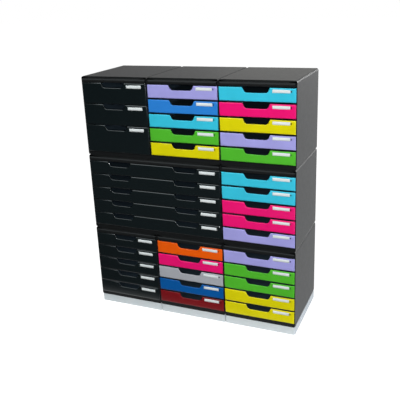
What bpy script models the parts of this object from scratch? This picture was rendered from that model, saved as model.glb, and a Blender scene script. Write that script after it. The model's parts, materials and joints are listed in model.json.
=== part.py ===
"""A bank of stacked drawer modules for paper: eight moulded casings, thirty-eight drawers, three plinths.

Three columns and three rows of modules stand on a plinth.  Most modules hold five shallow drawers, one
holds three taller ones, and one is two modules wide.  Every drawer hangs by two side flanges on runners
moulded into its casing, and slides out until its rear lugs meet two stops.

Frame: metres, +X to the right, the drawer fronts face -Y, +Z up.  The origin lies on the floor under the
middle of the bank.
"""
import math

import bmesh
import bpy
from mathutils import Vector

MM = 0.001

# The bank: how the modules stand together
COLUMNS = 3
MODULE_WIDTH = 288 * MM
MODULE_DEPTH = 330 * MM
SMALL_BAY = 55.7 * MM
TALL_BAY = 83.7 * MM
BAYS_PER_MODULE = 5
TOP_RAIL = 22.7 * MM
BOTTOM_RAIL = 15.8 * MM
SEAT_GAP = 0.3 * MM
PLINTH_HEIGHT = 32 * MM

# The casing: a moulded box, open in front
WALL = 2.5 * MM
PLATE = 3 * MM
BACK_WALL = 2.5 * MM
BACK_RECESS = 5 * MM
BACK_RIM = 6 * MM
EDGE_RADIUS = 5 * MM
FRAME_SETBACK = 6 * MM
RAIL_THICKNESS = 8 * MM
OPENING_EASE = 0.2 * MM

# The brow: the raised moulding along the top rail
BROW_ROOT = 2 * MM
BROW_LIP = 5 * MM
BROW_FALL = 10 * MM
BROW_END_SLOPE = 0.8
BROW_ROUND = 1 * MM
BROW_LIFT = 0.5 * MM

# The runners and stops inside the side walls
RUNNER_WIDTH = 6 * MM
RUNNER_THICKNESS = 2.5 * MM
RUNNER_SETBACK = 1 * MM
STOP_LENGTH = 4 * MM
STOP_HEIGHT = 4 * MM
STOP_LIFT = 1 * MM
STOP_CLEARANCE = 0.5 * MM
DRAWER_TRAVEL = 250 * MM

# The drawer front
FRONT_GAP = 6.4 * MM
FRONT_SIDE_GAP = 0.5 * MM
FRONT_PLATE = 3.5 * MM
FRONT_RETURN = 5.3 * MM
END_ROUND_WIDTH = 6 * MM
END_ROUND_DEPTH = 4 * MM
FRONT_CHAMFER = 1.2 * MM
NOTCH_TOP_WIDTH = 103 * MM
NOTCH_BOTTOM_WIDTH = 80 * MM
NOTCH_DEPTH = 18.8 * MM
NOTCH_RADIUS = 9 * MM
LABEL_NOTCH_GAP = 4.5 * MM
LABEL_END_GAP = 19.35 * MM
LABEL_HEIGHT = 12.5 * MM
LABEL_DROP = 5.3 * MM
LABEL_RECESS = 0.8 * MM
SLOT_GAP = 1.5 * MM
SLOT_WIDTH = 4 * MM
SLOT_HEIGHT = 7 * MM

# The drawer tray behind the front
TRAY_WALL = 2 * MM
TRAY_FLOOR = 2 * MM
TRAY_LIFT = 1 * MM
TRAY_CHAMFER = 1.4 * MM
TRAY_EMBED = 1 * MM
REAR_CLEARANCE = 3 * MM
RUN_CLEARANCE = 0.3 * MM
SIDE_CLEARANCE = 0.6 * MM
FLANGE_DROP = 14 * MM
FLANGE_THICKNESS = 2 * MM
LUG_LENGTH = 6 * MM
LUG_HEIGHT = 4.5 * MM
LUG_INSET = 0.4 * MM

# The plinth: a shallow moulded frame, ribbed underneath
PLINTH_CORNER = 8 * MM
PLINTH_SKIRT = 3 * MM
PLINTH_DECK = 3 * MM
PLINTH_RIB = 3 * MM
PLINTH_CELL_COLUMNS = 3
PLINTH_CELL_ROWS = 4

ARC_STEPS = 3
EDGE_STEPS = 2
CUT_SPARE = 5 * MM

MODULE_HEIGHT = TOP_RAIL + BAYS_PER_MODULE * SMALL_BAY + BOTTOM_RAIL
FRONT_Y = -MODULE_DEPTH / 2

# Bays from the top down: five shallow ones, or two taller ones over a deep one that takes what is left
DEEP_BAY = BAYS_PER_MODULE * SMALL_BAY - 2 * TALL_BAY
FIVE_BAYS = (SMALL_BAY,) * BAYS_PER_MODULE
THREE_BAYS = (TALL_BAY, TALL_BAY, DEEP_BAY)

# The modules: name, first column, row from the bottom, columns wide, bays, drawer colours from the top
MODULES = (
    ("top_left", 0, 2, 1, THREE_BAYS, ("black", "black", "black")),
    ("top_middle", 1, 2, 1, FIVE_BAYS, ("lavender", "blue", "turquoise", "green", "yellow")),
    ("top_right", 2, 2, 1, FIVE_BAYS, ("turquoise", "pink", "yellow", "lavender", "green")),
    ("middle_wide", 0, 1, 2, FIVE_BAYS, ("black",) * BAYS_PER_MODULE),
    ("middle_right", 2, 1, 1, FIVE_BAYS, ("turquoise", "turquoise", "pink", "pink", "lavender")),
    ("bottom_left", 0, 0, 1, FIVE_BAYS, ("black",) * BAYS_PER_MODULE),
    ("bottom_middle", 1, 0, 1, FIVE_BAYS, ("orange", "pink", "grey", "dark_blue", "burgundy")),
    ("bottom_right", 2, 0, 1, FIVE_BAYS, ("lavender", "green", "green", "yellow", "yellow")),
)
PLINTHS = ("plinth_left", "plinth_middle", "plinth_right")

# Linear base colour and roughness of each moulding plastic
PLASTICS = {
    "casing_black": ((0.012, 0.013, 0.013), 0.5),
    "black": ((0.008, 0.009, 0.010), 0.25),
    "lavender": ((0.352, 0.328, 0.680), 0.3),
    "blue": ((0.026, 0.205, 0.610), 0.3),
    "turquoise": ((0.038, 0.503, 0.665), 0.3),
    "green": ((0.080, 0.445, 0.026), 0.3),
    "yellow": ((0.701, 0.610, 0.003), 0.3),
    "pink": ((0.830, 0.007, 0.156), 0.3),
    "orange": ((0.830, 0.102, 0.003), 0.3),
    "grey": ((0.402, 0.402, 0.428), 0.3),
    "dark_blue": ((0.003, 0.091, 0.328), 0.3),
    "burgundy": ((0.188, 0.007, 0.010), 0.3),
    "plinth_grey": ((0.560, 0.580, 0.590), 0.45),
}


def plastic(name):
    """The material of one moulding colour, made the first time it is asked for."""
    made = bpy.data.materials.get(name)
    if made:
        return made
    colour, roughness = PLASTICS[name]
    made = bpy.data.materials.new(name)
    made.use_nodes = True
    shader = made.node_tree.nodes["Principled BSDF"]
    shader.inputs["Base Color"].default_value = (*colour, 1)
    shader.inputs["Roughness"].default_value = roughness
    shader.inputs["Metallic"].default_value = 0
    return made


def add_prism(bm, outline, axis, start, end):
    """Add to bm a closed prism: an outline in the two other axes, drawn along one axis."""
    across = [i for i in range(3) if i != axis]

    def corner(point, level):
        place = [0, 0, 0]
        place[axis] = level
        place[across[0]], place[across[1]] = point
        return bm.verts.new(place)

    near = [corner(point, start) for point in outline]
    far = [corner(point, end) for point in outline]
    faces = [bm.faces.new(near), bm.faces.new(far)]
    for i, point in enumerate(near):
        after = (i + 1) % len(near)
        faces.append(bm.faces.new((point, near[after], far[after], far[i])))
    bmesh.ops.recalc_face_normals(bm, faces=faces)


def add_block(bm, low, high):
    """Add to bm a block between two corners."""
    outline = ((low[0], low[1]), (high[0], low[1]), (high[0], high[1]), (low[0], high[1]))
    add_prism(bm, outline, 2, low[2], high[2])


def arc(centre, radii, start, end, steps):
    """Points along an ellipse's arc, angles in degrees."""
    points = []
    for i in range(steps + 1):
        angle = math.radians(start + (end - start) * i / steps)
        points.append((centre[0] + radii[0] * math.cos(angle), centre[1] + radii[1] * math.sin(angle)))
    return points


def solid(name, bm):
    """An object that holds bm's mesh."""
    mesh = bpy.data.meshes.new(name)
    bm.to_mesh(mesh)
    bm.free()
    thing = bpy.data.objects.new(name, mesh)
    bpy.context.scene.collection.objects.link(thing)
    return thing


def shaped(body, changes):
    """The mesh of body after a chain of exact unions and cuts, given as (operation, bmesh) pairs."""
    tools = []
    for operation, bm in changes:
        tool = solid(body.name + "_tool", bm)
        tool.hide_render = True
        tool.display_type = "WIRE"
        tools.append(tool)
        modifier = body.modifiers.new(operation, "BOOLEAN")
        modifier.operation = operation
        modifier.solver = "EXACT"
        modifier.object = tool
    bpy.context.view_layer.update()
    evaluated = body.evaluated_get(bpy.context.evaluated_depsgraph_get())
    mesh = bpy.data.meshes.new_from_object(evaluated)
    mesh.name = body.name
    for thing in [body, *tools]:
        bpy.data.objects.remove(thing)
    return mesh


def place(name, mesh, location, colour):
    """One named piece of the bank, in its own colour, on a mesh that its copies share."""
    piece = bpy.data.objects.new(name, mesh)
    bpy.context.scene.collection.objects.link(piece)
    piece.location = location
    if not mesh.materials:
        mesh.materials.append(None)
    piece.material_slots[0].link = "OBJECT"
    piece.material_slots[0].material = plastic(colour)
    return piece


def front_height(bay):
    """Height of the drawer front that closes a bay."""
    return bay - FRONT_GAP


def flange_top(bay):
    """Height of the tray's flange above the lower edge of its drawer front."""
    return front_height(bay) - FLANGE_DROP


def inner_half(width):
    """Half the clear width between a casing's side walls."""
    return (width - SEAT_GAP) / 2 - WALL


def runner_half(width):
    """Half the clear width between a casing's runners."""
    return inner_half(width) - RUNNER_WIDTH


def tray_end():
    """Depth of the tray's rear face behind the drawer face."""
    return MODULE_DEPTH - BACK_RECESS - BACK_WALL - REAR_CLEARANCE


def bay_floors(bays):
    """Height of each bay's lower edge above the casing's underside, from the top bay down."""
    level = MODULE_HEIGHT - TOP_RAIL
    floors = []
    for bay in bays:
        level -= bay
        floors.append(level)
    return floors


def casing_body(width):
    """The outside of a casing: a block with round edges, all but those of its open front."""
    half = (width - SEAT_GAP) / 2
    bm = bmesh.new()
    add_block(bm, (-half, FRAME_SETBACK, 0), (half, MODULE_DEPTH, MODULE_HEIGHT - SEAT_GAP))
    middle = (FRAME_SETBACK + MODULE_DEPTH) / 2
    edges = [edge for edge in bm.edges if max(v.co.y for v in edge.verts) > middle]
    bmesh.ops.bevel(bm, geom=edges, offset=EDGE_RADIUS, segments=EDGE_STEPS, profile=0.5, affect="EDGES")
    return bm


def casing_brow(width):
    """The brow along the top rail: a rounded slope from the lip to the drawers' face, with hipped ends."""
    top = MODULE_HEIGHT - SEAT_GAP
    low = MODULE_HEIGHT - TOP_RAIL + BROW_LIFT
    root = FRAME_SETBACK + BROW_ROOT
    crest = top - BROW_LIP - BROW_FALL
    slope = arc((root, crest), (root, BROW_FALL + BROW_ROOT), 90, 180, ARC_STEPS)
    profile = [*slope, (0, low + BROW_ROUND), (BROW_ROUND, low), (root, low)]
    half = inner_half(width) - FRONT_SIDE_GAP
    bm = bmesh.new()
    add_prism(bm, profile, 0, -half, half)
    for vertex in bm.verts:
        inset = BROW_END_SLOPE * (FRAME_SETBACK - vertex.co.y)
        vertex.co.x -= math.copysign(inset, vertex.co.x)
    return bm


def casing_cavity(width, bays):
    """The space inside a casing, stepped in at both sides around each pair of runners."""
    wall = inner_half(width)
    runner = runner_half(width)
    right = [(wall, PLATE)]
    for bay, floor in reversed(list(zip(bays, bay_floors(bays)))):
        seat = floor + FRONT_GAP / 2 + flange_top(bay) - FLANGE_THICKNESS - RUN_CLEARANCE
        under = seat - RUNNER_THICKNESS
        right += [(wall, under), (runner, under), (runner, seat), (wall, seat)]
    right.append((wall, MODULE_HEIGHT - SEAT_GAP - PLATE))
    left = [(-x, z) for x, z in reversed(right)]
    bm = bmesh.new()
    add_prism(bm, right + left, 1, FRAME_SETBACK + RAIL_THICKNESS, MODULE_DEPTH - BACK_RECESS - BACK_WALL)
    return bm


def casing_opening(width):
    """The front opening between the rails, cut back to where the runners start."""
    half = inner_half(width) + OPENING_EASE
    back = FRAME_SETBACK + RAIL_THICKNESS + RUNNER_SETBACK
    bm = bmesh.new()
    add_block(bm, (-half, -CUT_SPARE, BOTTOM_RAIL), (half, back, MODULE_HEIGHT - TOP_RAIL))
    return bm


def casing_back_recess(width):
    """The shallow recess that leaves a rim around the back wall."""
    half = (width - SEAT_GAP) / 2 - BACK_RIM
    bm = bmesh.new()
    low = (-half, MODULE_DEPTH - BACK_RECESS, BACK_RIM)
    high = (half, MODULE_DEPTH + CUT_SPARE, MODULE_HEIGHT - SEAT_GAP - BACK_RIM)
    add_block(bm, low, high)
    return bm


def casing_stops(width, bays):
    """Two stops for each drawer, on the side walls just above its flanges."""
    wall = inner_half(width) + WALL / 2
    tip = runner_half(width)
    back = tray_end() - LUG_INSET - LUG_LENGTH - DRAWER_TRAVEL - STOP_CLEARANCE
    bm = bmesh.new()
    for bay, floor in zip(bays, bay_floors(bays)):
        low = floor + FRONT_GAP / 2 + flange_top(bay) + STOP_LIFT
        for inner, outer in ((-wall, -tip), (tip, wall)):
            add_block(bm, (inner, back - STOP_LENGTH, low), (outer, back, low + STOP_HEIGHT))
    return bm


def casing_mesh(name, width, bays):
    """A casing, moulded in one piece with its brow, runners and stops."""
    return shaped(solid(name, casing_body(width)), (
        ("UNION", casing_brow(width)),
        ("DIFFERENCE", casing_cavity(width, bays)),
        ("DIFFERENCE", casing_opening(width)),
        ("DIFFERENCE", casing_back_recess(width)),
        ("UNION", casing_stops(width, bays)),
    ))


def drawer_front(width, bay):
    """The front panel: flat, with rounded ends that return to the casing and eased upper and lower edges."""
    half = inner_half(width) - FRONT_SIDE_GAP
    flat = half - END_ROUND_WIDTH
    radii = (END_ROUND_WIDTH, END_ROUND_DEPTH)
    left_end = arc((-flat, END_ROUND_DEPTH), radii, 180, 270, ARC_STEPS)
    right_end = arc((flat, END_ROUND_DEPTH), radii, 270, 360, ARC_STEPS)
    bm = bmesh.new()
    plan = [(-half, FRONT_RETURN), *left_end, *right_end, (half, FRONT_RETURN)]
    add_prism(bm, plan, 2, 0, front_height(bay))
    behind = (END_ROUND_DEPTH + FRONT_RETURN) / 2
    level = [edge for edge in bm.edges if abs(edge.verts[0].co.z - edge.verts[1].co.z) < FRONT_CHAMFER]
    eased = [edge for edge in level if max(v.co.y for v in edge.verts) < behind]
    bmesh.ops.bevel(bm, geom=eased, offset=FRONT_CHAMFER, segments=1, profile=0.5, affect="EDGES")
    return bm


def tray_section(half, flange, low, high):
    """Section of the tray: chamfered along the floor, with a flange out to each side at the top."""
    under = high - FLANGE_THICKNESS
    floor_edge = [(half - TRAY_CHAMFER, low), (half, low + TRAY_CHAMFER)]
    right = [*floor_edge, (half, under), (flange, under), (flange, high)]
    return right + [(-x, z) for x, z in reversed(right)]


def drawer_tray(width, bay):
    """The outside of the tray with its flanges, from inside the front's return to the rear."""
    half = runner_half(width) - SIDE_CLEARANCE
    flange = inner_half(width) - SIDE_CLEARANCE
    bm = bmesh.new()
    section = tray_section(half, flange, TRAY_LIFT, flange_top(bay))
    add_prism(bm, section, 1, FRONT_RETURN - TRAY_EMBED, tray_end())
    return bm


def drawer_lugs(width, bay):
    """The two rear lugs that meet the casing's stops when the drawer is fully out."""
    inner = runner_half(width) - SIDE_CLEARANCE - TRAY_WALL + LUG_INSET
    outer = inner_half(width) - SIDE_CLEARANCE - LUG_INSET
    back = tray_end() - LUG_INSET
    low = flange_top(bay) - FLANGE_THICKNESS / 2
    high = flange_top(bay) + LUG_HEIGHT
    bm = bmesh.new()
    for start, end in ((-outer, -inner), (inner, outer)):
        add_block(bm, (start, back - LUG_LENGTH, low), (end, back, high))
    return bm


def drawer_inside(width, bay):
    """The space in the tray, open at the top and up behind the front plate."""
    half = runner_half(width) - SIDE_CLEARANCE - TRAY_WALL
    low = TRAY_LIFT + TRAY_FLOOR
    high = front_height(bay) + CUT_SPARE
    right = [(half - TRAY_CHAMFER, low), (half, low + TRAY_CHAMFER), (half, high)]
    bm = bmesh.new()
    outline = right + [(-x, z) for x, z in reversed(right)]
    add_prism(bm, outline, 1, FRONT_PLATE, tray_end() - TRAY_WALL)
    return bm


def drawer_notches(bay, centres):
    """The finger notches in the upper edge: slanted sides and round lower corners."""
    top = front_height(bay)
    low = top - NOTCH_DEPTH
    run = (NOTCH_TOP_WIDTH - NOTCH_BOTTOM_WIDTH) / 2
    lean = math.degrees(math.atan2(run, NOTCH_DEPTH))
    reach = NOTCH_RADIUS * math.tan(math.radians((90 - lean) / 2))
    corner = (NOTCH_BOTTOM_WIDTH / 2 - reach, low + NOTCH_RADIUS)
    bend = arc(corner, (NOTCH_RADIUS, NOTCH_RADIUS), 270, 360 - lean, ARC_STEPS)
    spare = run * CUT_SPARE / NOTCH_DEPTH
    right = [*bend, (NOTCH_TOP_WIDTH / 2 + spare, top + CUT_SPARE)]
    outline = right + [(-x, z) for x, z in reversed(right)]
    bm = bmesh.new()
    for centre in centres:
        moved = [(x + centre, z) for x, z in outline]
        add_prism(bm, moved, 1, -CUT_SPARE, (FRONT_PLATE + FRONT_RETURN) / 2)
    return bm


def drawer_label_seat(bay, centre):
    """The paper label's recess between notch and end, and the slot beside it to push a label out."""
    top = front_height(bay) - LABEL_DROP
    left = centre + NOTCH_TOP_WIDTH / 2 + LABEL_NOTCH_GAP
    right = centre + inner_half(MODULE_WIDTH) - FRONT_SIDE_GAP - LABEL_END_GAP
    slot = right + SLOT_GAP
    middle = top - LABEL_HEIGHT / 2
    bm = bmesh.new()
    add_block(bm, (left, -CUT_SPARE, top - LABEL_HEIGHT), (right, LABEL_RECESS, top))
    low = (slot, -CUT_SPARE, middle - SLOT_HEIGHT / 2)
    add_block(bm, low, (slot + SLOT_WIDTH, (FRONT_PLATE + FRONT_RETURN) / 2, middle + SLOT_HEIGHT / 2))
    return bm


def drawer_mesh(name, columns, bay):
    """A drawer in one piece: front panel, tray, flanges and lugs, with a notch for each column it spans."""
    width = columns * MODULE_WIDTH
    centres = [(column - (columns - 1) / 2) * MODULE_WIDTH for column in range(columns)]
    return shaped(solid(name, drawer_front(width, bay)), (
        ("UNION", drawer_tray(width, bay)),
        ("UNION", drawer_lugs(width, bay)),
        ("DIFFERENCE", drawer_inside(width, bay)),
        ("DIFFERENCE", drawer_notches(bay, centres)),
        ("DIFFERENCE", drawer_label_seat(bay, centres[-1])),
    ))


def plinth_cells(start, end, count):
    """The clear stretches between evenly spaced ribs."""
    step = (end - start + PLINTH_RIB) / count
    return [(start + i * step, start + (i + 1) * step - PLINTH_RIB) for i in range(count)]


def plinth_mesh(name):
    """One plinth section: a deck and skirt with round corners, over a grid of ribs."""
    half = (MODULE_WIDTH - SEAT_GAP) / 2
    front = FRAME_SETBACK
    back = MODULE_DEPTH
    high = PLINTH_HEIGHT - SEAT_GAP
    radii = (PLINTH_CORNER, PLINTH_CORNER)
    plan = []
    for x, y, angle in ((half, back, 0), (-half, back, 90), (-half, front, 180), (half, front, 270)):
        inward = Vector((-math.copysign(PLINTH_CORNER, x), PLINTH_CORNER if y == front else -PLINTH_CORNER))
        plan += arc(Vector((x, y)) + inward, radii, angle, angle + 90, ARC_STEPS)
    body = bmesh.new()
    add_prism(body, plan, 2, 0, high)
    pockets = bmesh.new()
    for x0, x1 in plinth_cells(PLINTH_SKIRT - half, half - PLINTH_SKIRT, PLINTH_CELL_COLUMNS):
        for y0, y1 in plinth_cells(front + PLINTH_SKIRT, back - PLINTH_SKIRT, PLINTH_CELL_ROWS):
            add_block(pockets, (x0, y0, -CUT_SPARE), (x1, y1, high - PLINTH_DECK))
    return shaped(solid(name, body), (("DIFFERENCE", pockets),))


def column_x(column, columns):
    """Middle of a module that spans some columns, counted from the left."""
    return (column + columns / 2 - COLUMNS / 2) * MODULE_WIDTH


def build():
    """Model each kind of piece once, and set its copies in their places."""
    kinds = {}

    def kind(name, make, *sizes):
        key = (name, *sizes)
        if key not in kinds:
            kinds[key] = make(name, *sizes)
        return kinds[key]

    for column, name in enumerate(PLINTHS):
        place(name, kind("plinth", plinth_mesh), (column_x(column, 1), FRONT_Y, 0), "plinth_grey")
    for name, column, row, columns, bays, colours in MODULES:
        x = column_x(column, columns)
        base = PLINTH_HEIGHT + row * MODULE_HEIGHT
        shell = kind("casing", casing_mesh, columns * MODULE_WIDTH, bays)
        place("casing_" + name, shell, (x, FRONT_Y, base), "casing_black")
        for number, (bay, floor, colour) in enumerate(zip(bays, bay_floors(bays), colours), start=1):
            drawer = kind("drawer", drawer_mesh, columns, bay)
            place(f"drawer_{name}_{number}", drawer, (x, FRONT_Y, base + floor + FRONT_GAP / 2), colour)


for thing in list(bpy.data.objects):
    bpy.data.objects.remove(thing)
build()
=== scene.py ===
"""A bank of stacked drawer modules for paper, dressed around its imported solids.

Black moulded casings stand three columns wide and three rows high on a light grey plinth. Black or coloured
fronts, each with a finger notch and a paper label, close dark trays that slide out on moulded runners.
"""
import json
import math

import bmesh
import bpy
from mathutils import Matrix, Vector


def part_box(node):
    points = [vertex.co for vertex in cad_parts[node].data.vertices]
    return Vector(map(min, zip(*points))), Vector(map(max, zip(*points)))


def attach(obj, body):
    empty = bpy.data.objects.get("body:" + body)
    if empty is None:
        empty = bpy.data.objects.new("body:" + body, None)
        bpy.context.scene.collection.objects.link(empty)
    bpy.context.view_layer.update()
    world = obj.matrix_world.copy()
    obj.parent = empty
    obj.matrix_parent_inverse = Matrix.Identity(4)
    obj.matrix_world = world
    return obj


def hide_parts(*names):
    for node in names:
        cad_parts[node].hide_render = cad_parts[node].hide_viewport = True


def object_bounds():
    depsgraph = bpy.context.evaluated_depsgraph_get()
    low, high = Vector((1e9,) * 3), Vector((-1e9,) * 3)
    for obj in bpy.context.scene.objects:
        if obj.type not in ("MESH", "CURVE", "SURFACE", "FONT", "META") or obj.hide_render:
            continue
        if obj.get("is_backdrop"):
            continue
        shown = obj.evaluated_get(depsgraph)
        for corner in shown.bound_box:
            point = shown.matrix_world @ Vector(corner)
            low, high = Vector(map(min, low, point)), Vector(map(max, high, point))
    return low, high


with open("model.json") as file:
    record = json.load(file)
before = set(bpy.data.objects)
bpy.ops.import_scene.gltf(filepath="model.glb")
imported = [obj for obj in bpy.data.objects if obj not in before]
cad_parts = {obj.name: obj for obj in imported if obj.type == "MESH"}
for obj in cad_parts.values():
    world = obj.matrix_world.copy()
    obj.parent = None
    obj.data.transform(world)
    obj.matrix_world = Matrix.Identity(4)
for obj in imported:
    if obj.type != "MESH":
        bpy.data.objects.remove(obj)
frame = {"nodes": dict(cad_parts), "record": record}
cad_low, cad_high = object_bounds()

# Plinth
# Three light grey mouldings, one under each column, that lift the casings off the floor. Each is a shallow
# satin plastic box, open below, with round corners and a grid of ribs that carries the deck.
MM = 0.001
PLINTH_CORNER = 8 * MM
PLINTH_CORNER_STEPS = 6
PLINTH_SKIRT = 3 * MM
PLINTH_DECK = 3 * MM
PLINTH_RIB = 3 * MM
PLINTH_RIB_EMBED = 1 * MM
PLINTH_CELLS = (3, 4)
PLINTH_EDGE = 1.2 * MM
PLINTH_GREY = (0.560, 0.580, 0.590)
PLINTH_EDGE_STEPS = 4
CUT_SPARE = 5 * MM
WELD = 0.001 * MM
FLAT_ANGLE = math.radians(0.2)
SHARP_ANGLE = math.radians(35)
TINT_SPREAD = 0.045
GLOSS_SPREAD = 0.05


def arc(centre, radii, start, end, steps):
    """Points along an ellipse's arc, angles in degrees."""
    angles = [math.radians(start + (end - start) * i / steps) for i in range(steps + 1)]
    return [(centre[0] + radii[0] * math.cos(a), centre[1] + radii[1] * math.sin(a)) for a in angles]


def round_rectangle(low, high, radius, steps):
    """Outline of a rectangle with round corners."""
    corners = ((high[0] - radius, high[1] - radius, 0), (low[0] + radius, high[1] - radius, 90),
               (low[0] + radius, low[1] + radius, 180), (high[0] - radius, low[1] + radius, 270))
    outline = []
    for x, y, angle in corners:
        outline += arc((x, y), (radius, radius), angle, angle + 90, steps)
    return outline


def add_prism(bm, outline, axis, start, end):
    """Add to bm a closed prism: an outline in the two other axes, drawn along one axis."""
    across = [i for i in range(3) if i != axis]

    def corner(point, level):
        place = [0, 0, 0]
        place[axis] = level
        place[across[0]], place[across[1]] = point
        return bm.verts.new(place)

    near = [corner(point, start) for point in outline]
    far = [corner(point, end) for point in outline]
    faces = [bm.faces.new(near), bm.faces.new(far)]
    for i, point in enumerate(near):
        after = (i + 1) % len(near)
        faces.append(bm.faces.new((point, near[after], far[after], far[i])))
    bmesh.ops.recalc_face_normals(bm, faces=faces)


def prism(outline, axis, start, end):
    """One closed prism as a new bmesh."""
    bm = bmesh.new()
    add_prism(bm, outline, axis, start, end)
    return bm


def block(low, high):
    """A block between two corners as a new bmesh."""
    outline = ((low[0], low[1]), (high[0], low[1]), (high[0], high[1]), (low[0], high[1]))
    return prism(outline, 2, low[2], high[2])


def workpiece(name, bm):
    """A loose object that holds bm's mesh, to be shaped further."""
    mesh = bpy.data.meshes.new(name)
    bm.to_mesh(mesh)
    bm.free()
    thing = bpy.data.objects.new(name, mesh)
    bpy.context.scene.collection.objects.link(thing)
    return thing


def plain_mesh(thing, *tools):
    """The mesh of a workpiece with its modifiers applied; the workpiece and its tools are thrown away."""
    bpy.context.view_layer.update()
    evaluated = thing.evaluated_get(bpy.context.evaluated_depsgraph_get())
    mesh = bpy.data.meshes.new_from_object(evaluated)
    mesh.name = thing.name
    for old in (thing, *tools):
        bpy.data.objects.remove(old)
    return mesh


def shaped(name, body, *changes):
    """The mesh of a body after a chain of exact unions and cuts, given as (operation, bmesh) pairs."""
    thing = workpiece(name, body)
    tools = []
    for operation, bm in changes:
        tool = workpiece(name + "_tool", bm)
        tools.append(tool)
        modifier = thing.modifiers.new(operation, "BOOLEAN")
        modifier.operation = operation
        modifier.solver = "EXACT"
        modifier.object = tool
    return plain_mesh(thing, *tools)


def eased(mesh, width_of, segments, splits=()):
    """The mesh with its sharp edges rounded.

    width_of gives a round's width from an edge's two ends. splits lists where along X to part faces that have
    holes, since a face can't go round a hole.
    """
    bm = bmesh.new()
    bm.from_mesh(mesh)
    bmesh.ops.remove_doubles(bm, verts=bm.verts, dist=WELD)
    for x in splits:
        cut = bmesh.ops.bisect_plane(bm, geom=[*bm.verts, *bm.edges, *bm.faces], dist=WELD,
                                     plane_co=(x, 0, 0), plane_no=(1, 0, 0))
        for item in cut["geom_cut"]:
            if isinstance(item, bmesh.types.BMEdge):
                item.seam = True
    bmesh.ops.dissolve_limit(bm, angle_limit=FLAT_ANGLE, verts=bm.verts, edges=bm.edges, delimit={"SEAM"})
    weights = bm.edges.layers.float.new("bevel_weight_edge")
    widths = {}
    for edge in bm.edges:
        if len(edge.link_faces) == 2 and edge.calc_face_angle() > SHARP_ANGLE:
            widths[edge] = width_of(*[v.co for v in edge.verts])
    widest = max(widths.values())
    for edge, width in widths.items():
        edge[weights] = width / widest
    thing = workpiece(mesh.name, bm)
    bpy.data.meshes.remove(mesh)
    thing.data.shade_smooth()
    rounds = thing.modifiers.new("rounds", "BEVEL")
    rounds.limit_method = "WEIGHT"
    rounds.offset_type = "OFFSET"
    rounds.width = widest
    rounds.segments = segments
    rounds.miter_outer = "MITER_ARC"
    rounds.use_clamp_overlap = False
    flats = thing.modifiers.new("flats", "WEIGHTED_NORMAL")
    flats.mode = "FACE_AREA"
    flats.keep_sharp = True
    return plain_mesh(thing)


def joined(name, *meshes):
    """One mesh made of several; the first keeps its smooth normals apart from the others."""
    things = []
    for mesh in meshes:
        thing = bpy.data.objects.new(name, mesh)
        bpy.context.scene.collection.objects.link(thing)
        things.append(thing)
    with bpy.context.temp_override(active_object=things[0], selected_editable_objects=things):
        bpy.ops.object.join()
    return plain_mesh(things[0])


def finished(name, mesh, place, material, body, node, slot):
    """A finished piece: a copy of the mesh in its place and material, riding on its body for its node."""
    own = mesh.copy()
    own.name = name
    own.transform(Matrix.Translation(place))
    own.materials.clear()
    own.materials.append(material)
    piece = bpy.data.objects.new(name, own)
    bpy.context.scene.collection.objects.link(piece)
    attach(piece, body)
    if node:
        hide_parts(node)
    return piece


def moulded_plastic(name, colour, roughness, specular, grain, grain_depth):
    """Moulded plastic: a slightly uneven colour and gloss, and the fine grain of the mould in the surface."""
    material = bpy.data.materials.new(name)
    material.use_nodes = True
    nodes = material.node_tree.nodes
    links = material.node_tree.links
    shader = nodes["Principled BSDF"]
    shader.inputs["Specular IOR Level"].default_value = specular
    place = nodes.new("ShaderNodeTexCoord")

    cloud = nodes.new("ShaderNodeTexNoise")
    cloud.inputs["Scale"].default_value = 14
    cloud.inputs["Detail"].default_value = 4
    cloud.inputs["Roughness"].default_value = 0.6
    links.new(place.outputs["Object"], cloud.inputs["Vector"])

    tint = nodes.new("ShaderNodeValToRGB")
    tint.color_ramp.elements[0].position = 0.3
    tint.color_ramp.elements[0].color = (*[(1 - TINT_SPREAD) * c for c in colour], 1)
    tint.color_ramp.elements[1].position = 0.7
    tint.color_ramp.elements[1].color = (*[min(1, (1 + TINT_SPREAD) * c) for c in colour], 1)
    links.new(cloud.outputs["Fac"], tint.inputs["Fac"])
    links.new(tint.outputs["Color"], shader.inputs["Base Color"])

    handling = nodes.new("ShaderNodeTexNoise")
    handling.inputs["Scale"].default_value = 55
    handling.inputs["Detail"].default_value = 6
    handling.inputs["Roughness"].default_value = 0.65
    links.new(place.outputs["Object"], handling.inputs["Vector"])
    gloss = nodes.new("ShaderNodeMapRange")
    gloss.inputs["From Min"].default_value = 0.3
    gloss.inputs["From Max"].default_value = 0.7
    gloss.inputs["To Min"].default_value = (1 - GLOSS_SPREAD) * roughness
    gloss.inputs["To Max"].default_value = (1 + GLOSS_SPREAD) * roughness
    links.new(handling.outputs["Fac"], gloss.inputs["Value"])
    links.new(gloss.outputs["Result"], shader.inputs["Roughness"])

    texture = nodes.new("ShaderNodeTexNoise")
    texture.inputs["Scale"].default_value = 1 / grain
    texture.inputs["Detail"].default_value = 3
    links.new(place.outputs["Object"], texture.inputs["Vector"])
    bump = nodes.new("ShaderNodeBump")
    bump.inputs["Strength"].default_value = 0.35
    bump.inputs["Distance"].default_value = grain_depth
    links.new(texture.outputs["Fac"], bump.inputs["Height"])
    links.new(bump.outputs["Normal"], shader.inputs["Normal"])
    return material


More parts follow.
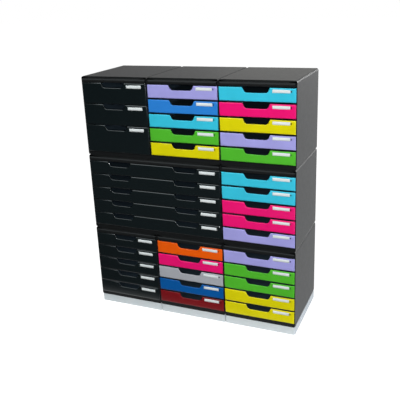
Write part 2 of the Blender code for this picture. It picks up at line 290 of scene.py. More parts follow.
def rib_grid():
    """Geometry nodes for a grid of ribs: upright plates in two directions that share out a floor evenly."""
    tree = bpy.data.node_groups.new("rib_grid", "GeometryNodeTree")
    sizes = ("Width", "Depth", "Height", "Rib")
    counts = ("Cells Across", "Cells Deep")
    for name in sizes:
        tree.interface.new_socket(name, in_out="INPUT", socket_type="NodeSocketFloat")
    for name in counts:
        tree.interface.new_socket(name, in_out="INPUT", socket_type="NodeSocketInt")
    tree.interface.new_socket("Material", in_out="INPUT", socket_type="NodeSocketMaterial")
    tree.interface.new_socket("Geometry", in_out="OUTPUT", socket_type="NodeSocketGeometry")
    links = tree.links
    given = tree.nodes.new("NodeGroupInput")
    result = tree.nodes.new("NodeGroupOutput")

    def sum_of(operation, a, b):
        node = tree.nodes.new("ShaderNodeMath")
        node.operation = operation
        for socket, value in zip(node.inputs, (a, b)):
            if isinstance(value, (int, float)):
                socket.default_value = value
            else:
                links.new(value, socket)
        return node.outputs["Value"]

    def vector(**parts):
        node = tree.nodes.new("ShaderNodeCombineXYZ")
        for axis, value in parts.items():
            links.new(value, node.inputs[axis])
        return node.outputs["Vector"]

    middle = sum_of("DIVIDE", given.outputs["Height"], 2)
    ribs = tree.nodes.new("GeometryNodeJoinGeometry")
    directions = (("X", "Width", "Depth", "Cells Across"), ("Y", "Depth", "Width", "Cells Deep"))
    for axis, span, other, count in directions:
        step = sum_of("DIVIDE", given.outputs[span], given.outputs[count])
        start = sum_of("SUBTRACT", step, sum_of("DIVIDE", given.outputs[span], 2))
        line = tree.nodes.new("GeometryNodeMeshLine")
        links.new(sum_of("SUBTRACT", given.outputs[count], 1), line.inputs["Count"])
        links.new(vector(**{axis: start, "Z": middle}), line.inputs["Start Location"])
        links.new(vector(**{axis: step}), line.inputs["Offset"])
        plate = tree.nodes.new("GeometryNodeMeshCube")
        cross = "Y" if axis == "X" else "X"
        sides = {axis: given.outputs["Rib"], cross: given.outputs[other], "Z": given.outputs["Height"]}
        links.new(vector(**sides), plate.inputs["Size"])
        copies = tree.nodes.new("GeometryNodeInstanceOnPoints")
        links.new(line.outputs["Mesh"], copies.inputs["Points"])
        links.new(plate.outputs["Mesh"], copies.inputs["Instance"])
        links.new(copies.outputs["Instances"], ribs.inputs["Geometry"])
    real = tree.nodes.new("GeometryNodeRealizeInstances")
    links.new(ribs.outputs["Geometry"], real.inputs["Geometry"])
    one = tree.nodes.new("GeometryNodeMeshBoolean")
    one.operation = "UNION"
    one.solver = "EXACT"
    one.inputs["Self Intersection"].default_value = True
    links.new(real.outputs["Geometry"], one.inputs["Mesh"])
    finish = tree.nodes.new("GeometryNodeSetMaterial")
    links.new(one.outputs["Mesh"], finish.inputs["Geometry"])
    links.new(given.outputs["Material"], finish.inputs["Material"])
    links.new(finish.outputs["Geometry"], result.inputs["Geometry"])
    return tree


def grown(name, points, tree, **inputs):
    """The plain mesh that a geometry tree makes on some points, with its named inputs set."""
    base = bpy.data.meshes.new(name)
    base.from_pydata(points, [], [])
    thing = bpy.data.objects.new(name, base)
    bpy.context.scene.collection.objects.link(thing)
    modifier = thing.modifiers.new(name, "NODES")
    modifier.node_group = tree
    sockets = {item.name: item.identifier for item in tree.interface.items_tree if item.in_out == "INPUT"}
    for words, value in inputs.items():
        modifier[sockets[words.replace("_", " ")]] = value
    return plain_mesh(thing)


plinth_plastic = moulded_plastic(
    "plinth_plastic", PLINTH_GREY, roughness=0.45, specular=0.4, grain=0.7 * MM, grain_depth=0.05 * MM)
plinth_low, plinth_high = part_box("plinth_left")
plinth_size = plinth_high - plinth_low
plinth_half = plinth_size / 2
plinth_hollow = plinth_size - Vector((2 * PLINTH_SKIRT, 2 * PLINTH_SKIRT, PLINTH_DECK))
plinth_outline = round_rectangle(-plinth_half.xy, plinth_half.xy, PLINTH_CORNER, PLINTH_CORNER_STEPS)
hollow_outline = round_rectangle(-plinth_hollow.xy / 2, plinth_hollow.xy / 2, PLINTH_CORNER - PLINTH_SKIRT,
                                 PLINTH_CORNER_STEPS)
plinth_shell = shaped(
    "plinth", prism(plinth_outline, 2, 0, plinth_size.z),
    ("DIFFERENCE", prism(hollow_outline, 2, -CUT_SPARE, plinth_hollow.z)))
plinth_shell = eased(
    plinth_shell, lambda a, b: PLINTH_EDGE if min(a.z, b.z) > PLINTH_DECK else PLINTH_EDGE / 3,
    PLINTH_EDGE_STEPS, splits=(0,))
plinth_ribs = grown(
    "plinth_ribs", [(0, 0, 0)], rib_grid(), Width=plinth_hollow.x + PLINTH_RIB_EMBED,
    Depth=plinth_hollow.y + PLINTH_RIB_EMBED, Height=plinth_hollow.z + PLINTH_RIB_EMBED, Rib=PLINTH_RIB,
    Cells_Across=PLINTH_CELLS[0], Cells_Deep=PLINTH_CELLS[1], Material=plinth_plastic)
plinth_mesh = joined("plinth", plinth_shell, plinth_ribs)
for side in ("left", "middle", "right"):
    low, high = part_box("plinth_" + side)
    place = Vector(((low.x + high.x) / 2, (low.y + high.y) / 2, low.z))
    finished("plinth_base_" + side, plinth_mesh, place, plinth_plastic,
             body="bank", node="plinth_" + side, slot="plinth_grey")

# Casings
# Eight black boxes of textured polystyrene, moulded in one piece each and stacked by their own weight. Outer
# edges are round, the back sits inside a rim, and a polished brow with hipped ends runs along the top of the
# open front.
CASING_BLACK = (0.0105, 0.0110, 0.0112)
CASING_WALL = 2.5 * MM
CASING_PLATE = 3 * MM
CASING_BACK = 2.5 * MM
BACK_RECESS = 5 * MM
BACK_RIM = 6 * MM
BACK_CORNER = 3 * MM
OUTER_ROUND = 5 * MM
OUTER_ROUND_STEPS = 5
SIDE_ROUND = 8 * MM
SIDE_ROUND_STEPS = 8
FRAME_SETBACK = 6 * MM
RAIL_THICKNESS = 8 * MM
TOP_RAIL = 22.7 * MM
BOTTOM_RAIL = 15.8 * MM
STACK_GAP = 0.3 * MM
BROW_LIP = 7 * MM
BROW_FALL = 12 * MM
BROW_LIFT = 0.5 * MM
BROW_END_SLOPE = 0.8
BROW_END_GAP = 0.5 * MM
BROW_STEPS = 8
GROOVE = 3 * MM
BROW_EDGE = 1 * MM
FRONT_EDGE = 0.5 * MM
INNER_EDGE = 0.4 * MM
EDGE_REACH = 1 * MM
CASING_EDGE_STEPS = 3
POLISHED_DEPTH = 3 * MM
POLISH_BLEND = 1 * MM
RUNNER_WIDTH = 6 * MM
RUNNER_THICKNESS = 2.5 * MM
RUNNER_START = 15 * MM
RUNNER_EMBED = 0.5 * MM
STOP_LENGTH = 4 * MM
STOP_HEIGHT = 4 * MM
STOP_LIFT = 3.3 * MM
STOP_PLACE = 58.6 * MM
RUNNER_DROP = 16.3 * MM


def casing_outside(half, depth, height):
    """The outside of a casing: a block whose edges are round, all but those of its open front."""
    outline = round_rectangle((-half, 0), (half, height), SIDE_ROUND, SIDE_ROUND_STEPS)
    bm = prism(outline, 1, FRAME_SETBACK, depth)
    middle = (FRAME_SETBACK + depth) / 2
    edges = [edge for edge in bm.edges if min(v.co.y for v in edge.verts) > middle]
    bmesh.ops.bevel(bm, geom=edges, offset=OUTER_ROUND, segments=OUTER_ROUND_STEPS, profile=0.5,
                    affect="EDGES")
    return bm


def brow(half, height):
    """The brow: a rounded slope from the lip down to the drawers' face, drawn in towards both ends."""
    crest = height - BROW_LIP - BROW_FALL
    low = height + STACK_GAP - TOP_RAIL + BROW_LIFT
    slope = arc((FRAME_SETBACK, crest), (FRAME_SETBACK, BROW_FALL), 90, 180, BROW_STEPS)
    root = FRAME_SETBACK + RAIL_THICKNESS / 2
    inner = half - CASING_WALL - BROW_END_GAP
    bm = prism([(root, slope[0][1]), *slope, (0, low), (root, low)], 0, -inner, inner)
    for vertex in bm.verts:
        inset = BROW_END_SLOPE * (FRAME_SETBACK - vertex.co.y)
        vertex.co.x -= math.copysign(inset, vertex.co.x)
    return bm


def runner_pairs():
    """Geometry nodes for runners and stops: a pair of bars, each with its stop, at each point's height."""
    tree = bpy.data.node_groups.new("runner_pairs", "GeometryNodeTree")
    tree.interface.new_socket("Geometry", in_out="INPUT", socket_type="NodeSocketGeometry")
    for name in ("Bar Size", "Bar Place", "Stop Size", "Stop Place"):
        tree.interface.new_socket(name, in_out="INPUT", socket_type="NodeSocketVector")
    tree.interface.new_socket("Material", in_out="INPUT", socket_type="NodeSocketMaterial")
    tree.interface.new_socket("Geometry", in_out="OUTPUT", socket_type="NodeSocketGeometry")
    links = tree.links
    given = tree.nodes.new("NodeGroupInput")
    result = tree.nodes.new("NodeGroupOutput")
    pair = tree.nodes.new("GeometryNodeJoinGeometry")
    for kind in ("Bar", "Stop"):
        bar = tree.nodes.new("GeometryNodeMeshCube")
        links.new(given.outputs[kind + " Size"], bar.inputs["Size"])
        for side in (1, -1):
            other = tree.nodes.new("ShaderNodeVectorMath")
            other.operation = "MULTIPLY"
            other.inputs[1].default_value = (side, 1, 1)
            links.new(given.outputs[kind + " Place"], other.inputs[0])
            moved = tree.nodes.new("GeometryNodeTransform")
            links.new(bar.outputs["Mesh"], moved.inputs["Geometry"])
            links.new(other.outputs["Vector"], moved.inputs["Translation"])
            links.new(moved.outputs["Geometry"], pair.inputs["Geometry"])
    copies = tree.nodes.new("GeometryNodeInstanceOnPoints")
    links.new(given.outputs["Geometry"], copies.inputs["Points"])
    links.new(pair.outputs["Geometry"], copies.inputs["Instance"])
    real = tree.nodes.new("GeometryNodeRealizeInstances")
    links.new(copies.outputs["Instances"], real.inputs["Geometry"])
    finish = tree.nodes.new("GeometryNodeSetMaterial")
    links.new(real.outputs["Geometry"], finish.inputs["Geometry"])
    links.new(given.outputs["Material"], finish.inputs["Material"])
    links.new(finish.outputs["Geometry"], result.inputs["Geometry"])
    return tree


def casing_edge(depth):
    """The width of a casing edge's round: fullest on the brow, slight around the front, inside and behind."""
    def width_of(a, b):
        nearest = max(a.y, b.y)
        if nearest < FRAME_SETBACK - EDGE_REACH:
            return BROW_EDGE
        if nearest < FRAME_SETBACK + EDGE_REACH:
            return FRONT_EDGE
        return INNER_EDGE if nearest < depth - EDGE_REACH else FRONT_EDGE
    return width_of


def casing_mesh(half, depth, height, seats):
    """A casing in one piece: box, brow, rails and rim, with a pair of runners and stops under each drawer."""
    wall = half - CASING_WALL
    back = depth - BACK_RECESS - CASING_BACK
    rail = FRAME_SETBACK + RAIL_THICKNESS
    opening_top = height + STACK_GAP - TOP_RAIL
    rim = round_rectangle((BACK_RIM - half, BACK_RIM), (half - BACK_RIM, height - BACK_RIM), BACK_CORNER,
                          OUTER_ROUND_STEPS)
    groove = block((-wall, 0, height - BROW_LIP), (wall, FRAME_SETBACK + GROOVE, height + CUT_SPARE))
    shell = shaped(
        "casing", casing_outside(half, depth, height),
        ("UNION", brow(half, height)),
        ("DIFFERENCE", block((-wall, rail, CASING_PLATE), (wall, back, height - CASING_PLATE))),
        ("DIFFERENCE", block((-wall, -CUT_SPARE, BOTTOM_RAIL), (wall, rail + CUT_SPARE, opening_top))),
        ("DIFFERENCE", groove),
        ("DIFFERENCE", prism(rim, 1, depth - BACK_RECESS, depth + CUT_SPARE)))
    shell = eased(shell, casing_edge(depth), CASING_EDGE_STEPS, splits=(0,))
    width = RUNNER_WIDTH + RUNNER_EMBED
    x = wall + RUNNER_EMBED - width / 2
    length = back - RUNNER_START
    runners = grown(
        "runners", [(0, 0, seat) for seat in seats], runner_tree,
        Bar_Size=(width, length, RUNNER_THICKNESS),
        Bar_Place=(x, RUNNER_START + length / 2, -RUNNER_THICKNESS / 2),
        Stop_Size=(width, STOP_LENGTH, STOP_HEIGHT),
        Stop_Place=(x, STOP_PLACE + STOP_LENGTH / 2, STOP_LIFT + STOP_HEIGHT / 2),
        Material=casing_plastic)
    return joined("casing", shell, runners)


def polish_front(material, line, roughness, specular):
    """Make a moulding smoother and darker in front of a line, where its mould is polished."""
    nodes = material.node_tree.nodes
    links = material.node_tree.links
    shader = nodes["Principled BSDF"]
    place = nodes.new("ShaderNodeTexCoord")
    split = nodes.new("ShaderNodeSeparateXYZ")
    links.new(place.outputs["Object"], split.inputs["Vector"])
    grained = nodes.new("ShaderNodeMapRange")
    grained.inputs["From Min"].default_value = line - POLISH_BLEND
    grained.inputs["From Max"].default_value = line + POLISH_BLEND
    links.new(split.outputs["Y"], grained.inputs["Value"])
    mix = nodes.new("ShaderNodeMix")
    mix.inputs["A"].default_value = roughness
    links.new(shader.inputs["Roughness"].links[0].from_socket, mix.inputs["B"])
    links.new(grained.outputs["Result"], mix.inputs["Factor"])
    links.new(mix.outputs["Result"], shader.inputs["Roughness"])
    sheen = nodes.new("ShaderNodeMix")
    sheen.inputs["A"].default_value = specular
    sheen.inputs["B"].default_value = shader.inputs["Specular IOR Level"].default_value
    links.new(grained.outputs["Result"], sheen.inputs["Factor"])
    links.new(sheen.outputs["Result"], shader.inputs["Specular IOR Level"])
    bump = shader.inputs["Normal"].links[0].from_node
    grained_strength = nodes.new("ShaderNodeMath")
    grained_strength.operation = "MULTIPLY"
    grained_strength.inputs[1].default_value = bump.inputs["Strength"].default_value
    links.new(grained.outputs["Result"], grained_strength.inputs[0])
    links.new(grained_strength.outputs["Value"], bump.inputs["Strength"])


casing_plastic = moulded_plastic(
    "casing_plastic", CASING_BLACK, roughness=0.5, specular=0.3, grain=0.8 * MM, grain_depth=0.08 * MM)
polish_front(casing_plastic, cad_low.y + FRAME_SETBACK + POLISHED_DEPTH, roughness=0.25, specular=0.12)
runner_tree = runner_pairs()
casing_kinds = {}
for node in [name for name in frame["nodes"] if name.startswith("casing_")]:
    module = node.removeprefix("casing_")
    low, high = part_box(node)
    size = high - low
    fronts = [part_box(name) for name in sorted(frame["nodes"]) if name.startswith(f"drawer_{module}_")]
    seats = tuple(round(top.z - low.z - RUNNER_DROP, 5) for bottom, top in fronts)
    kind = (round(size.x, 4), seats)
    if kind not in casing_kinds:
        casing_kinds[kind] = casing_mesh(size.x / 2, size.y, size.z, seats)
    place = Vector(((low.x + high.x) / 2, low.y, low.z))
    finished("shell_" + module, casing_kinds[kind], place, casing_plastic,
             body="bank", node=node, slot="casing_black")

# Drawers
# A glossy polystyrene front, black or coloured, on a dark tray. The front has eased edges, ends that curve
# back to the casing, a finger notch for each column it spans and the recess of its label. The tray hangs by
# its flanges.
MODULE_PITCH = 288 * MM
FRONT_PLATE = 3.5 * MM
FRONT_RETURN = 5.3 * MM
FRONT_SILL = 3 * MM
BLACK_LAP = 2.2 * MM
END_WIDTH = 8.1 * MM
END_ROUND = (6 * MM, 4 * MM)
END_STEPS = 8
FRONT_ROUND = 2.6 * MM
FRONT_ROUND_STEPS = 4
FRONT_EASE = (3 * MM, 5 * MM)
BACK_ROUND = 0.4 * MM
NOTCH_TOP = 101.5 * MM
NOTCH_BOTTOM = 83 * MM
NOTCH_DEPTH = 18.8 * MM
NOTCH_LOWER_ROUND = 13 * MM
NOTCH_SHIFT = -2.3 * MM
NOTCH_STEPS = 6
LABEL_LEFT = 56 * MM
LABEL_SIZE = (65.5 * MM, 12.5 * MM)
LABEL_DROP = 4.8 * MM
LABEL_RECESS = 0.8 * MM
LABEL_CORNER = 1 * MM
LABEL_CORNER_STEPS = 3
SLOT_GAP = 1.5 * MM
SLOT_SIZE = (4 * MM, 7 * MM)
SLOT_STEPS = 5
RECESS_ROUND = 0.35 * MM
TRAY_DARK = (0.036, 0.056, 0.076)
TRAY_SIDE = 6.1 * MM
TRAY_WALL = 2 * MM
TRAY_FLOOR = 2 * MM
TRAY_LIFT = 1 * MM
TRAY_ROUND = 2.5 * MM
TRAY_STEPS = 5
TRAY_EDGE = 0.3 * MM
TRAY_EDGE_STEPS = 3
FLANGE_DROP = 14 * MM
FLANGE_THICKNESS = 2 * MM
FLANGE_GAP = 0.1 * MM
LUG_LENGTH = 6 * MM
LUG_HEIGHT = 4.5 * MM
LUG_INSET = 0.4 * MM
BLACK_SHINE = 0.8
COLOUR_SHINE = 0.28
DRAWER_COLOURS = {
    "drawer_black": (0.0034, 0.0068, 0.0078),
    "drawer_lavender": (0.352, 0.328, 0.680),
    "drawer_blue": (0.026, 0.205, 0.610),
    "drawer_turquoise": (0.038, 0.503, 0.665),
    "drawer_green": (0.080, 0.445, 0.026),
    "drawer_yellow": (0.701, 0.610, 0.003),
    "drawer_pink": (0.830, 0.007, 0.156),
    "drawer_orange": (0.830, 0.102, 0.003),
    "drawer_grey": (0.402, 0.402, 0.428),
    "drawer_dark_blue": (0.003, 0.091, 0.328),
    "drawer_burgundy": (0.188, 0.007, 0.010),
}


def mirrored(right):
    """A closed outline from its right half, listed from the middle of the bottom to the middle of the top."""
    return right + [(-x, z) for x, z in reversed(right)]


def notch_outline(centre, height):
    """A finger notch in the upper edge, with slanted sides and round lower corners."""
    run = (NOTCH_TOP - NOTCH_BOTTOM) / 2
    lean = math.degrees(math.atan2(run, NOTCH_DEPTH))
    reach = NOTCH_LOWER_ROUND * math.tan(math.radians((90 - lean) / 2))
    bend = (NOTCH_BOTTOM / 2 - reach, height - NOTCH_DEPTH + NOTCH_LOWER_ROUND)
    right = [*arc(bend, (NOTCH_LOWER_ROUND, NOTCH_LOWER_ROUND), 270, 360 - lean, NOTCH_STEPS),
             (NOTCH_TOP / 2 + CUT_SPARE * run / NOTCH_DEPTH, height + CUT_SPARE)]
    return [(x + centre + NOTCH_SHIFT, z) for x, z in mirrored(right)]


def label_box(centre, height):
    """Lower left and upper right corner of the label on the front of a drawer."""
    left = centre + LABEL_LEFT
    top = height - LABEL_DROP
    return (left, top - LABEL_SIZE[1]), (left + LABEL_SIZE[0], top)


def front_mesh(half, height, centres, lap):
    """The front of a drawer: a plate with curved ends and eased edges, its notches and its label's recess."""
    flat = half - END_ROUND[0]
    plan = [(-half, FRONT_RETURN), *arc((-flat, END_ROUND[1]), END_ROUND, 180, 270, END_STEPS),
            *arc((flat, END_ROUND[1]), END_ROUND, 270, 360, END_STEPS), (half, FRONT_RETURN)]
    profile = [*arc((FRONT_EASE[0], FRONT_EASE[1] - lap), FRONT_EASE, 270, 180, END_STEPS),
               *arc((FRONT_EASE[0], height + lap - FRONT_EASE[1]), FRONT_EASE, 180, 90, END_STEPS),
               (FRONT_RETURN + CUT_SPARE, height + lap), (FRONT_RETURN + CUT_SPARE, -lap)]
    inner = half - END_WIDTH
    behind = block((-inner, FRONT_PLATE, FRONT_SILL), (inner, CUT_SPARE + FRONT_RETURN, height + CUT_SPARE))
    changes = [("INTERSECT", prism(profile, 0, -half - CUT_SPARE, half + CUT_SPARE)), ("DIFFERENCE", behind)]
    for centre in centres:
        notch = prism(notch_outline(centre, height + lap), 1, -CUT_SPARE, 2 * FRONT_PLATE)
        changes.append(("DIFFERENCE", notch))
    low, high = label_box(centres[-1], height)
    seat = round_rectangle(low, high, LABEL_CORNER, LABEL_CORNER_STEPS)
    changes.append(("DIFFERENCE", prism(seat, 1, -CUT_SPARE, LABEL_RECESS)))
    corner = Vector((high[0] + SLOT_GAP, (low[1] + high[1] - SLOT_SIZE[1]) / 2))
    far_corner = corner + Vector(SLOT_SIZE)
    slot_outline = round_rectangle(corner, far_corner, SLOT_SIZE[0] / 2 - RECESS_ROUND, SLOT_STEPS)
    changes.append(("DIFFERENCE", prism(slot_outline, 1, -CUT_SPARE, 2 * FRONT_PLATE)))

    def width_of(a, b):
        """Slight in the recesses and behind, none where an end meets an eased edge, fullest on a notch."""
        if all(low[0] - RECESS_ROUND < p.x < far_corner.x + RECESS_ROUND and
               low[1] - RECESS_ROUND < p.z < high[1] + RECESS_ROUND for p in (a, b)):
            return RECESS_ROUND
        if min(abs(a.x), abs(b.x)) > flat - BACK_ROUND and max(a.y, b.y) < FRONT_RETURN:
            return 0
        return max(BACK_ROUND, min(FRONT_ROUND, FRONT_PLATE - BACK_ROUND - max(a.y, b.y)))

    plain = shaped("front", prism(plan, 2, -lap, height + lap), *changes)
    recess_middles = ((low[0] + high[0]) / 2, (corner.x + far_corner.x) / 2)
    return eased(plain, width_of, FRONT_ROUND_STEPS, recess_middles)


def tray_mesh(half, height, depth):
    """The tray behind a front: round floor edges, a flange along each side and a lug at each rear corner."""
    side = half - TRAY_SIDE
    flange = half - FLANGE_GAP
    rim = height - FLANGE_DROP
    bend = arc((side - TRAY_ROUND, TRAY_LIFT + TRAY_ROUND), (TRAY_ROUND, TRAY_ROUND), 270, 360, TRAY_STEPS)
    right = [*bend, (side, rim - FLANGE_THICKNESS), (flange, rim - FLANGE_THICKNESS), (flange, rim)]
    inner = side - TRAY_WALL
    inside_round = TRAY_ROUND - TRAY_WALL / 2
    bowl_centre = (inner - inside_round, TRAY_LIFT + TRAY_FLOOR + inside_round)
    bowl = arc(bowl_centre, (inside_round, inside_round), 270, 360, TRAY_STEPS)
    space = mirrored([*bowl, (inner, height + CUT_SPARE)])
    lug_low, lug_high = rim - FLANGE_THICKNESS / 2, rim + LUG_HEIGHT
    back = depth - LUG_INSET
    lugs = bmesh.new()
    for end in (-1, 1):
        x0, x1 = sorted((end * (inner + LUG_INSET), end * (flange - LUG_INSET)))
        lug = ((x0, lug_low), (x1, lug_low), (x1, lug_high), (x0, lug_high))
        add_prism(lugs, lug, 1, back - LUG_LENGTH, back)
    mesh = shaped(
        "tray", prism(mirrored(right), 1, FRONT_RETURN, depth), ("UNION", lugs),
        ("DIFFERENCE", prism(space, 1, -CUT_SPARE, depth - TRAY_WALL)))

    def width_of(a, b):
        """The same everywhere, but none at the foot of a lug, which stands close to the flange's edge."""
        under_lug = all(abs(p.z - rim) < TRAY_EDGE and inner < abs(p.x) - LUG_INSET / 2 < flange - LUG_INSET
                        and p.y < depth - LUG_INSET / 2 for p in (a, b))
        return 0 if under_lug else TRAY_EDGE

    lug_middle = (inner + flange) / 2
    return eased(mesh, width_of, TRAY_EDGE_STEPS, (-lug_middle, lug_middle))


tray_plastic = moulded_plastic(
    "tray_plastic", TRAY_DARK, roughness=0.42, specular=0.2, grain=1.1 * MM, grain_depth=0.05 * MM)
front_plastics = {}
for slot, colour in DRAWER_COLOURS.items():
    shine = BLACK_SHINE if slot == "drawer_black" else COLOUR_SHINE
    front_plastics[slot] = moulded_plastic(
        slot.replace("drawer", "front"), colour, roughness=0.2, specular=shine, grain=1.6 * MM,
        grain_depth=0.03 * MM)
slot_of = {part["node"]: part["material_slot"] for part in frame["record"]["subparts"]}
drawers = sorted(name for name in frame["nodes"] if name.startswith("drawer_"))
drawer_kinds = {}
for node in drawers:
    body = node.removeprefix("drawer_")
    low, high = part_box(node)
    size = high - low
    columns = round(size.x / MODULE_PITCH)
    centres = [(i - (columns - 1) / 2) * MODULE_PITCH for i in range(columns)]
    lap = BLACK_LAP if slot_of[node] == "drawer_black" else 0
    kind = (columns, round(size.z, 5), lap)
    if kind not in drawer_kinds:
        half = size.x / 2
        drawer_kinds[kind] = front_mesh(half, size.z, centres, lap), tray_mesh(half, size.z, size.y)
    front, tray = drawer_kinds[kind]
    place = Vector(((low.x + high.x) / 2, low.y, low.z))
    finished("front_" + body, front, place, front_plastics[slot_of[node]], body, node, slot_of[node])
    finished("tray_" + body, tray, place, tray_plastic, body, node, "casing_black")

# Labels
# A strip of white card in the recess of every front. It is cut a little short of the recess, bows slightly
# and is blank.
CARD_WHITE = (0.74, 0.76, 0.75)
CARD_THICKNESS = 0.3 * MM
CARD_MARGIN = 0.35 * MM
CARD_INSET = 1.1 * MM
CARD_BOW = 0.12 * MM
CARD_STEPS = (24, 3)
CARD_LIFT = 0.05 * MM


def card_stock():
    """Uncoated white card: a faint mottle of fibres in its colour and surface."""
    material = bpy.data.materials.new("label_card")
    material.use_nodes = True
    nodes = material.node_tree.nodes
    links = material.node_tree.links
    shader = nodes["Principled BSDF"]
    shader.inputs["Roughness"].default_value = 0.85
    shader.inputs["Specular IOR Level"].default_value = 0.25
    place = nodes.new("ShaderNodeTexCoord")
    fibres = nodes.new("ShaderNodeTexNoise")
    fibres.inputs["Scale"].default_value = 900
    fibres.inputs["Detail"].default_value = 5
    fibres.inputs["Distortion"].default_value = 1.5
    links.new(place.outputs["Object"], fibres.inputs["Vector"])
    tint = nodes.new("ShaderNodeValToRGB")
    tint.color_ramp.elements[0].position = 0.25
    tint.color_ramp.elements[0].color = (*[0.94 * c for c in CARD_WHITE], 1)
    tint.color_ramp.elements[1].position = 0.65
    tint.color_ramp.elements[1].color = (*CARD_WHITE, 1)
    links.new(fibres.outputs["Fac"], tint.inputs["Fac"])
    links.new(tint.outputs["Color"], shader.inputs["Base Color"])
    bump = nodes.new("ShaderNodeBump")
    bump.inputs["Strength"].default_value = 0.3
    bump.inputs["Distance"].default_value = 0.04 * MM
    links.new(fibres.outputs["Fac"], bump.inputs["Height"])
    links.new(bump.outputs["Normal"], shader.inputs["Normal"])
    return material


def card_mesh(width, height):
    """A strip of card, bowed slightly towards its middle, its lower left corner at the origin."""
    bm = bmesh.new()
    grid = []
    for i in range(CARD_STEPS[0] + 1):
        along = i / CARD_STEPS[0]
        bow = CARD_BOW * 4 * along * (1 - along)
        heights = [height * j / CARD_STEPS[1] for j in range(CARD_STEPS[1] + 1)]
        grid.append([bm.verts.new((along * width, -bow, z)) for z in heights])
    for left, right in zip(grid, grid[1:]):
        for j in range(CARD_STEPS[1]):
            bm.faces.new((left[j], right[j], right[j + 1], left[j + 1]))
    thing = workpiece("card", bm)
    thing.data.shade_smooth()
    thick = thing.modifiers.new("thickness", "SOLIDIFY")
    thick.thickness = CARD_THICKNESS
    thick.offset = -1
    return plain_mesh(thing)


label_card = card_stock()
card = card_mesh(LABEL_SIZE[0] - CARD_INSET - 2 * CARD_MARGIN, LABEL_SIZE[1] - 2 * CARD_MARGIN)
for node in drawers:
    body = node.removeprefix("drawer_")
    low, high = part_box(node)
    columns = round((high.x - low.x) / MODULE_PITCH)
    corner, _ = label_box((columns - 1) / 2 * MODULE_PITCH, high.z - low.z)
    place = Vector(((low.x + high.x) / 2 + corner[0] + CARD_INSET + CARD_MARGIN,
                    low.y + LABEL_RECESS - CARD_THICKNESS - CARD_LIFT, low.z + corner[1] + CARD_MARGIN))
    finished("label_" + body, card, place, label_card, body, None, None)

# Floor and light
# A pale floor and a white backdrop behind the bank, in a studio that is dim where the photographer stands,
# where the floor is painted dark as painted shade. A broad soft lamp hangs in front and overhead. Weaker ones
# stand at the right, behind, by the camera and on the floor.
FLOOR_SIZE = 40
FLOOR_PALE = 0.8
# Painted shade: the floor's colour in front of the bank, dark to stand in for the dim studio there.
FLOOR_PAINTED_SHADE = 0.06
FLOOR_EDGE = (-0.30, -0.15)
FLOOR_GLOW = 0.985
FLOOR_SHADE = 0.25
ROOM_LIGHT = 0.1
BACKDROP_TOWARDS = (0.50, 0.86, 0.10)
BACKDROP_EDGE = (0.0, 0.85)


def seen_white(nodes, links, part):
    """A factor that is 1 for the camera, and for mirrored and refracted rays where the white part lies."""
    path = nodes.new("ShaderNodeLightPath")
    either = nodes.new("ShaderNodeMath")
    either.operation = "MAXIMUM"
    links.new(path.outputs["Is Glossy Ray"], either.inputs[0])
    links.new(path.outputs["Is Transmission Ray"], either.inputs[1])
    there = nodes.new("ShaderNodeMath")
    there.operation = "MULTIPLY"
    links.new(either.outputs["Value"], there.inputs[0])
    links.new(part, there.inputs[1])
    factor = nodes.new("ShaderNodeMath")
    factor.operation = "MAXIMUM"
    links.new(path.outputs["Is Camera Ray"], factor.inputs[0])
    links.new(there.outputs["Value"], factor.inputs[1])
    return factor.outputs["Value"]


def fade(nodes, links, value, start, end):
    """A smooth step from 0 to 1 as the value goes from start to end."""
    step = nodes.new("ShaderNodeMapRange")
    step.interpolation_type = "SMOOTHSTEP"
    step.inputs["From Min"].default_value = start
    step.inputs["From Max"].default_value = end
    links.new(value, step.inputs["Value"])
    return step.outputs["Result"]


def floor_material():
    """A pale floor, painted dark in front of the bank as painted shade, that looks white and takes the bank's
    shadow.
    """
    material = bpy.data.materials.new("pale_floor")
    material.use_nodes = True
    nodes = material.node_tree.nodes
    links = material.node_tree.links
    nodes.clear()
    place = nodes.new("ShaderNodeNewGeometry")
    split = nodes.new("ShaderNodeSeparateXYZ")
    links.new(place.outputs["Position"], split.inputs["Vector"])
    pale = fade(nodes, links, split.outputs["Y"], *FLOOR_EDGE)
    # Painted shade: the floor's colour goes from pale near the bank to painted dark in front of it.
    painted_shade_tone = nodes.new("ShaderNodeMix")
    painted_shade_tone.data_type = "RGBA"
    painted_shade_tone.inputs["A"].default_value = (FLOOR_PAINTED_SHADE, FLOOR_PAINTED_SHADE, FLOOR_PAINTED_SHADE, 1)
    painted_shade_tone.inputs["B"].default_value = (FLOOR_PALE, FLOOR_PALE, FLOOR_PALE, 1)
    links.new(pale, painted_shade_tone.inputs["Factor"])
    lit = nodes.new("ShaderNodeBsdfDiffuse")
    links.new(painted_shade_tone.outputs["Result"], lit.inputs["Color"])
    shade = nodes.new("ShaderNodeBsdfDiffuse")
    shade.inputs["Color"].default_value = (FLOOR_SHADE, FLOOR_SHADE, FLOOR_SHADE, 1)
    glow = nodes.new("ShaderNodeEmission")
    glow.inputs["Strength"].default_value = FLOOR_GLOW
    seen = nodes.new("ShaderNodeAddShader")
    links.new(shade.outputs["BSDF"], seen.inputs[0])
    links.new(glow.outputs["Emission"], seen.inputs[1])
    mix = nodes.new("ShaderNodeMixShader")
    links.new(seen_white(nodes, links, pale), mix.inputs["Fac"])
    links.new(lit.outputs["BSDF"], mix.inputs[1])
    links.new(seen.outputs["Shader"], mix.inputs[2])
    result = nodes.new("ShaderNodeOutputMaterial")
    links.new(mix.outputs["Shader"], result.inputs["Surface"])
    return material


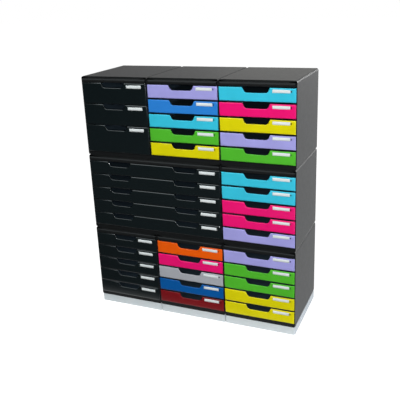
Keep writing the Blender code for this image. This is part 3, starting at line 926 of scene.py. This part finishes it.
def lamp(name, place, target, size, power, colour=(1, 1, 1), mirrored_too=True):
    """A soft lamp of a given width and height, turned towards a point, and seen in reflections or not."""
    light = bpy.data.lights.new(name, "AREA")
    light.shape = "RECTANGLE"
    light.size, light.size_y = size
    light.energy = power
    light.color = colour
    holder = bpy.data.objects.new(name, light)
    bpy.context.scene.collection.objects.link(holder)
    holder.location = place
    holder.rotation_euler = (Vector(target) - Vector(place)).to_track_quat("-Z", "Y").to_euler()
    holder.visible_camera = False
    holder.visible_glossy = mirrored_too
    return holder


edge = FLOOR_SIZE / 2
floor_bm = bmesh.new()
floor_corners = ((-edge, -edge, 0), (edge, -edge, 0), (edge, edge, 0), (-edge, edge, 0))
floor_bm.faces.new([floor_bm.verts.new(corner) for corner in floor_corners])
floor = workpiece("floor", floor_bm)
floor.data.materials.append(floor_material())
floor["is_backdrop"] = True

world = bpy.data.worlds.new("room")
bpy.context.scene.world = world
world.use_nodes = True
nodes = world.node_tree.nodes
links = world.node_tree.links
nodes.clear()
direction = nodes.new("ShaderNodeTexCoord")
towards = nodes.new("ShaderNodeVectorMath")
towards.operation = "DOT_PRODUCT"
towards.inputs[1].default_value = BACKDROP_TOWARDS
links.new(direction.outputs["Generated"], towards.inputs[0])
backdrop = fade(nodes, links, towards.outputs["Value"], *BACKDROP_EDGE)
room = nodes.new("ShaderNodeBackground")
room.inputs["Color"].default_value = (1, 1, 1, 1)
room.inputs["Strength"].default_value = ROOM_LIGHT
white = nodes.new("ShaderNodeBackground")
white.inputs["Color"].default_value = (1, 1, 1, 1)
white.inputs["Strength"].default_value = 1
both = nodes.new("ShaderNodeMixShader")
links.new(seen_white(nodes, links, backdrop), both.inputs["Fac"])
links.new(room.outputs["Background"], both.inputs[1])
links.new(white.outputs["Background"], both.inputs[2])
output = nodes.new("ShaderNodeOutputWorld")
links.new(both.outputs["Shader"], output.inputs["Surface"])

middle = (cad_low + cad_high) / 2
lamp("softbox", (-1.0, -3.0, 4.2), middle, size=(5, 4.5), power=185, colour=(0.90, 1.0, 1.03))
lamp("right_lamp", (3.0, -0.3, 0.8), middle, size=(2.0, 1.5), power=22, colour=(0.75, 0.95, 1.2))
lamp("back_lamp", (-0.5, 4.0, 1.7), (0, 0, 1), size=(2.0, 1.4), power=4, colour=(1.0, 0.98, 0.85))
lamp("rear_right_lamp", (1.85, 3.8, 1.5), (0.43, 0, 0.6), size=(1.5, 1.0), power=42)
lamp("camera_lamp", (0.945, -2.163, 1.302), middle, size=(0.12, 0.12), power=25)
lamp("front_floor_lamp", (0.6, -1.3, 0.05), (0.2, 0, 0.25), size=(1.6, 0.4), power=2.5, mirrored_too=False)
lamp("right_floor_lamp", (1.6, -0.1, 0.05), (0.43, 0, 0.05), size=(0.4, 0.6), power=4, mirrored_too=False)

# Camera
# Where the photograph was taken from: to the right of the bank, above it, and turned down towards it.
PICTURE = 400
FOCAL_PIXELS = 604.122
AXIS_ABOVE_MIDDLE = 14.664
CAMERA_PLACE = (0.94327, -2.15877, 1.30038)
CAMERA_HEADING = 23.90298
CAMERA_PITCH = 18.29219
CAMERA_ROLL = -2.43229
view = bpy.data.cameras.new("view")
view.lens = FOCAL_PIXELS / PICTURE * view.sensor_width
view.shift_y = -AXIS_ABOVE_MIDDLE / PICTURE
view_point = bpy.data.objects.new("view", view)
bpy.context.scene.collection.objects.link(view_point)
turn = Matrix.Rotation(math.radians(CAMERA_HEADING), 4, "Z")
turn @= Matrix.Rotation(math.radians(90 - CAMERA_PITCH), 4, "X")
turn @= Matrix.Rotation(math.radians(CAMERA_ROLL), 4, "Z")
view_point.matrix_world = Matrix.Translation(CAMERA_PLACE) @ turn
bpy.context.scene.camera = view_point
bpy.context.scene.view_settings.view_transform = "Standard"

low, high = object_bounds()
